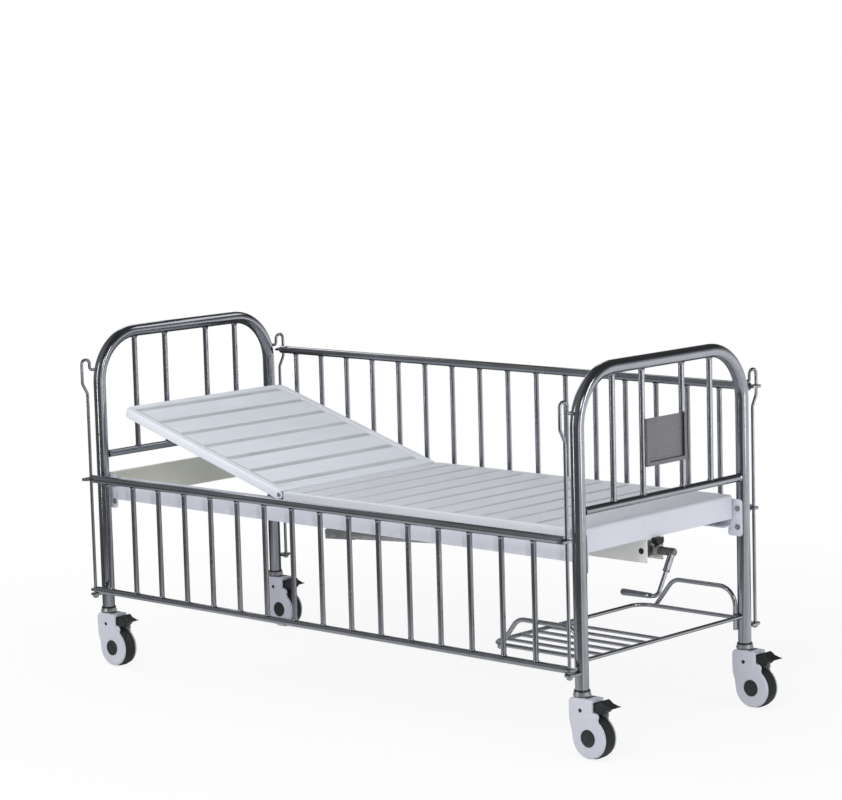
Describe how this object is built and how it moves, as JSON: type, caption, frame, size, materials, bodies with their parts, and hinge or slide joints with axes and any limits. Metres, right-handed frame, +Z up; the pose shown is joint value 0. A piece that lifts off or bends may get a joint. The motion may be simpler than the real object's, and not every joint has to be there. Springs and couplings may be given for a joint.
{
  "type": "pediatric hospital cot",
  "caption": "Child's hospital bed with tubular end frames, sliding drop sides, crank-raised backrest, pressed deck, wire rack and braked swivel casters.",
  "frame": {"origin": "on the floor, under the middle of the cot's overall box", "axes": "+X along the bed towards the foot end with the crank, +Y towards the raised side, +Z up"},
  "size_m": [1.724, 0.745, 0.8793],
  "materials": {
    "polished_steel": "polished stainless tube",
    "brushed_plate": "brushed",
    "paint": "satin powder coat",
    "zinc_steel": "zinc plated",
    "white_plastic": "moulded",
    "black_plastic": "moulded",
    "tyre": "matt"
  },
  "bodies": {
    "frame": {"head_end_tube": "polished_steel", "head_grille": "polished_steel", "foot_end_tube": "polished_steel", "foot_grille": "polished_steel", "card_holder": "brushed_plate", "near_side_member": "paint", "far_side_member": "paint", "head_cross_member": "paint", "foot_apron": "paint", "hinge_beam": "paint", "head_near_corner_bracket": "paint", "head_far_corner_bracket": "paint", "foot_near_corner_bracket": "paint", "foot_far_corner_bracket": "paint", "head_near_guide_rod": "polished_steel", "head_far_guide_rod": "polished_steel", "foot_near_guide_rod": "polished_steel", "foot_far_guide_rod": "polished_steel", "fixed_deck": "paint", "hinge_bracket_near": "zinc_steel", "hinge_bracket_far": "zinc_steel", "crank_channel": "paint", "crank_bearing": "brushed_plate", "bearing_block": "black_plastic", "rack_grid": "polished_steel", "rack_hoop_near": "polished_steel", "rack_hoop_far": "polished_steel", "head_near_caster_stem": "zinc_steel", "head_far_caster_stem": "zinc_steel", "foot_near_caster_stem": "zinc_steel", "foot_far_caster_stem": "zinc_steel"},
    "near_rail": {"near_side_rail": "polished_steel"},
    "far_rail": {"far_side_rail": "polished_steel"},
    "backrest": {"backrest_panel": "paint", "backrest_stiffener": "paint", "lift_lever": "zinc_steel"},
    "crank": {"crank_hub": "polished_steel"},
    "crank_handle": {"crank_handle_rod": "polished_steel"},
    "grip": {"crank_grip": "polished_steel"},
    "thrust": {"thrust_block": "zinc_steel"},
    "screw": {"drive_screw": "zinc_steel"},
    "pusher": {"push_tube": "zinc_steel"},
    "head_near_caster": {"head_near_caster_housing": "white_plastic", "head_near_caster_axle": "black_plastic"},
    "head_near_wheel": {"head_near_caster_wheel": "tyre"},
    "head_near_pedal": {"head_near_brake_pedal": "black_plastic"},
    "head_far_caster": {"head_far_caster_housing": "white_plastic", "head_far_caster_axle": "black_plastic"},
    "head_far_wheel": {"head_far_caster_wheel": "tyre"},
    "head_far_pedal": {"head_far_brake_pedal": "black_plastic"},
    "foot_near_caster": {"foot_near_caster_housing": "white_plastic", "foot_near_caster_axle": "black_plastic"},
    "foot_near_wheel": {"foot_near_caster_wheel": "tyre"},
    "foot_near_pedal": {"foot_near_brake_pedal": "black_plastic"},
    "foot_far_caster": {"foot_far_caster_housing": "white_plastic", "foot_far_caster_axle": "black_plastic"},
    "foot_far_wheel": {"foot_far_caster_wheel": "tyre"},
    "foot_far_pedal": {"foot_far_brake_pedal": "black_plastic"}
  },
  "joints": [
    {"name": "near_rail_slide", "type": "slide", "parent": "frame", "child": "near_rail", "axis": [0, 0, 1], "range_m": [0, 0.2675]},
    {"name": "far_rail_slide", "type": "slide", "parent": "frame", "child": "far_rail", "axis": [0, 0, 1], "range_m": [-0.2675, 0]},
    {"name": "backrest_hinge", "type": "hinge", "parent": "frame", "child": "backrest", "pos_m": [-0.207, 0, 0.49957], "axis": [0, 1, 0], "range_deg": [-16.5, 43.5]},
    {"name": "screw_tilt", "type": "hinge", "parent": "frame", "child": "thrust", "pos_m": [0.7297, -0.014, 0.42257], "axis": [0, 1, 0], "range_deg": [-2.64, 6.15]},
    {"name": "screw_spin", "type": "hinge", "parent": "thrust", "child": "screw", "pos_m": [0.7297, -0.014, 0.42257], "axis": [0.9979, 0, 0.0652], "range_deg": [-47.2, 122.8]},
    {"name": "push_slide", "type": "slide", "parent": "thrust", "child": "pusher", "axis": [-0.9979, 0, -0.0652], "range_m": [-0.0293, 0.074]},
    {"name": "crank_turn", "type": "hinge", "parent": "frame", "child": "crank", "pos_m": [0.795, -0.014, 0.42257], "axis": [1, 0, 0], "range_deg": [-47.2, 122.8]},
    {"name": "handle_flip", "type": "hinge", "parent": "crank", "child": "crank_handle", "pos_m": [0.795, -0.014, 0.42257], "axis": [0, -0.515, -0.8572], "range_deg": [0, 180]},
    {"name": "grip_spin", "type": "hinge", "parent": "crank_handle", "child": "grip", "pos_m": [0.795, -0.07065, 0.32828], "axis": [1, 0, 0], "continuous": true},
    {"name": "head_near_swivel", "type": "hinge", "parent": "frame", "child": "head_near_caster", "pos_m": [-0.839, -0.303, 0.13757], "axis": [0, 0, 1], "continuous": true},
    {"name": "head_near_wheel_spin", "type": "hinge", "parent": "head_near_caster", "child": "head_near_wheel", "pos_m": [-0.806, -0.303, 0.04957], "axis": [0, 1, 0], "continuous": true},
    {"name": "head_near_pedal_press", "type": "hinge", "parent": "head_near_caster", "child": "head_near_pedal", "pos_m": [-0.803, -0.303, 0.11857], "axis": [0, 1, 0], "range_deg": [0, 12]},
    {"name": "head_far_swivel", "type": "hinge", "parent": "frame", "child": "head_far_caster", "pos_m": [-0.839, 0.303, 0.13757], "axis": [0, 0, 1], "continuous": true},
    {"name": "head_far_wheel_spin", "type": "hinge", "parent": "head_far_caster", "child": "head_far_wheel", "pos_m": [-0.806, 0.303, 0.04957], "axis": [0, 1, 0], "continuous": true},
    {"name": "head_far_pedal_press", "type": "hinge", "parent": "head_far_caster", "child": "head_far_pedal", "pos_m": [-0.803, 0.303, 0.11857], "axis": [0, 1, 0], "range_deg": [0, 12]},
    {"name": "foot_near_swivel", "type": "hinge", "parent": "frame", "child": "foot_near_caster", "pos_m": [0.761, -0.303, 0.13757], "axis": [0, 0, 1], "continuous": true},
    {"name": "foot_near_wheel_spin", "type": "hinge", "parent": "foot_near_caster", "child": "foot_near_wheel", "pos_m": [0.794, -0.303, 0.04957], "axis": [0, 1, 0], "continuous": true},
    {"name": "foot_near_pedal_press", "type": "hinge", "parent": "foot_near_caster", "child": "foot_near_pedal", "pos_m": [0.797, -0.303, 0.11857], "axis": [0, 1, 0], "range_deg": [0, 12]},
    {"name": "foot_far_swivel", "type": "hinge", "parent": "frame", "child": "foot_far_caster", "pos_m": [0.761, 0.303, 0.13757], "axis": [0, 0, 1], "continuous": true},
    {"name": "foot_far_wheel_spin", "type": "hinge", "parent": "foot_far_caster", "child": "foot_far_wheel", "pos_m": [0.794, 0.303, 0.04957], "axis": [0, 1, 0], "continuous": true},
    {"name": "foot_far_pedal_press", "type": "hinge", "parent": "foot_far_caster", "child": "foot_far_pedal", "pos_m": [0.797, 0.303, 0.11857], "axis": [0, 1, 0], "range_deg": [0, 12]}
  ],
  "couplings": [
    {"joint": "screw_tilt", "follows": "backrest_hinge", "ratio": 0.12993},
    {"joint": "screw_spin", "follows": "backrest_hinge", "ratio": 2.8},
    {"joint": "push_slide", "follows": "backrest_hinge", "m_per_rad": 0.094798},
    {"joint": "crank_turn", "follows": "backrest_hinge", "ratio": 2.8}
  ]
}
